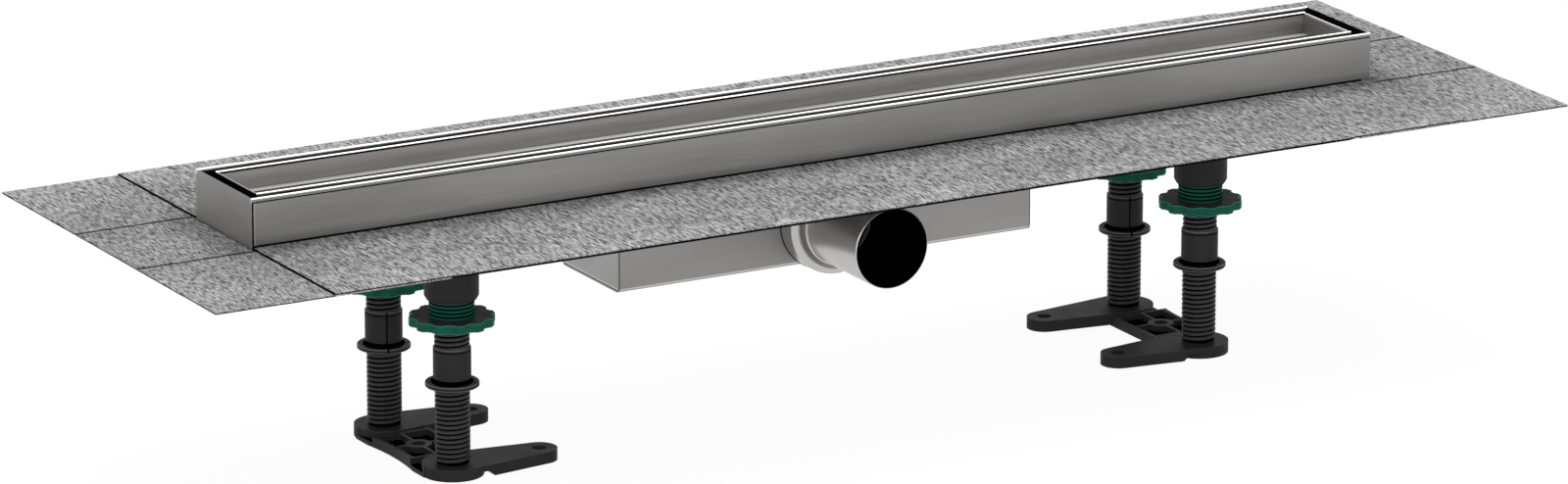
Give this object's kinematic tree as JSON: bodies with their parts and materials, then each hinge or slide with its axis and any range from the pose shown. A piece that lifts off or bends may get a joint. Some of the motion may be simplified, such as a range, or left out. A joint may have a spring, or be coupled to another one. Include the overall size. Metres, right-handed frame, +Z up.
{
  "type": "linear shower drain",
  "caption": "Linear shower channel with a tile-in tray, bonded sealing fleece, sump with water trap and side outlet, on levelling feet with base brackets.",
  "frame": {"origin": "on the floor under the middle of the channel, at the centre of the fleece's outline", "axes": "+X along the channel, -Y the way the outlet points, +Z up"},
  "size_m": [0.934, 0.292, 0.187],
  "materials": {
    "satin_steel": "satin stainless sheet with a fine grain along the channel",
    "fleece": "mottled grey polypropylene felt",
    "black_plastic": "black moulded polypropylene, satin",
    "green_plastic": "dark green moulded plastic, satin",
    "trap_plastic": "grey moulded plastic",
    "seal_rubber": "black rubber",
    "zinc_steel": "bright zinc-plated steel"
  },
  "bodies": {
    "channel": {"channel_body": "satin_steel", "channel_end_left": "satin_steel", "channel_end_right": "satin_steel", "collar_flange": "satin_steel", "tile_tray": "satin_steel", "tray_rest_left_outer": "satin_steel", "tray_rest_left_inner": "satin_steel", "tray_rest_right_inner": "satin_steel", "tray_rest_right_outer": "satin_steel", "sump_body": "satin_steel", "sump_end_left": "satin_steel", "sump_end_right": "satin_steel", "outlet_collar": "satin_steel", "outlet_spigot": "satin_steel", "hair_strainer": "satin_steel", "fleece_front": "fleece", "fleece_back": "fleece", "fleece_left_front": "fleece", "fleece_left_middle": "fleece", "fleece_left_back": "fleece", "fleece_right_front": "fleece", "fleece_right_middle": "fleece", "fleece_right_back": "fleece", "trap_seal": "seal_rubber", "trap_dip_tube": "trap_plastic", "trap_cup": "trap_plastic", "leg_socket_front_left": "black_plastic", "leg_socket_back_left": "black_plastic", "leg_socket_front_right": "black_plastic", "leg_socket_back_right": "black_plastic", "flange_studs": "zinc_steel", "socket_nuts": "zinc_steel"},
    "left_foot": {"base_bracket_left": "black_plastic", "threaded_stud_front_left": "black_plastic", "threaded_stud_back_left": "black_plastic"},
    "right_foot": {"base_bracket_right": "black_plastic", "threaded_stud_front_right": "black_plastic", "threaded_stud_back_right": "black_plastic"},
    "nut_front_left": {"levelling_nut_front_left": "green_plastic"},
    "nut_back_left": {"levelling_nut_back_left": "green_plastic"},
    "nut_front_right": {"levelling_nut_front_right": "green_plastic"},
    "nut_back_right": {"levelling_nut_back_right": "green_plastic"}
  },
  "joints": [
    {"name": "nut_front_left_turn", "type": "hinge", "parent": "channel", "child": "nut_front_left", "pos_m": [-0.262, -0.045, 0.1], "axis": [0, 0, 1], "range_deg": [-1440, 2400]},
    {"name": "nut_back_left_turn", "type": "hinge", "parent": "channel", "child": "nut_back_left", "pos_m": [-0.262, 0.045, 0.1], "axis": [0, 0, 1], "range_deg": [-1440, 2400]},
    {"name": "left_foot_slide", "type": "slide", "parent": "channel", "child": "left_foot", "axis": [0, 0, -1], "range_m": [-0.012, 0.02]},
    {"name": "nut_front_right_turn", "type": "hinge", "parent": "channel", "child": "nut_front_right", "pos_m": [0.262, -0.045, 0.1], "axis": [0, 0, 1], "range_deg": [-1440, 2400]},
    {"name": "nut_back_right_turn", "type": "hinge", "parent": "channel", "child": "nut_back_right", "pos_m": [0.262, 0.045, 0.1], "axis": [0, 0, 1], "range_deg": [-1440, 2400]},
    {"name": "right_foot_slide", "type": "slide", "parent": "channel", "child": "right_foot", "axis": [0, 0, -1], "range_m": [-0.012, 0.02]}
  ],
  "couplings": [
    {"joint": "nut_front_left_turn", "follows": "left_foot_slide", "rad_per_m": 2094.4},
    {"joint": "nut_back_left_turn", "follows": "left_foot_slide", "rad_per_m": 2094.4},
    {"joint": "nut_front_right_turn", "follows": "right_foot_slide", "rad_per_m": 2094.4},
    {"joint": "nut_back_right_turn", "follows": "right_foot_slide", "rad_per_m": 2094.4}
  ]
}
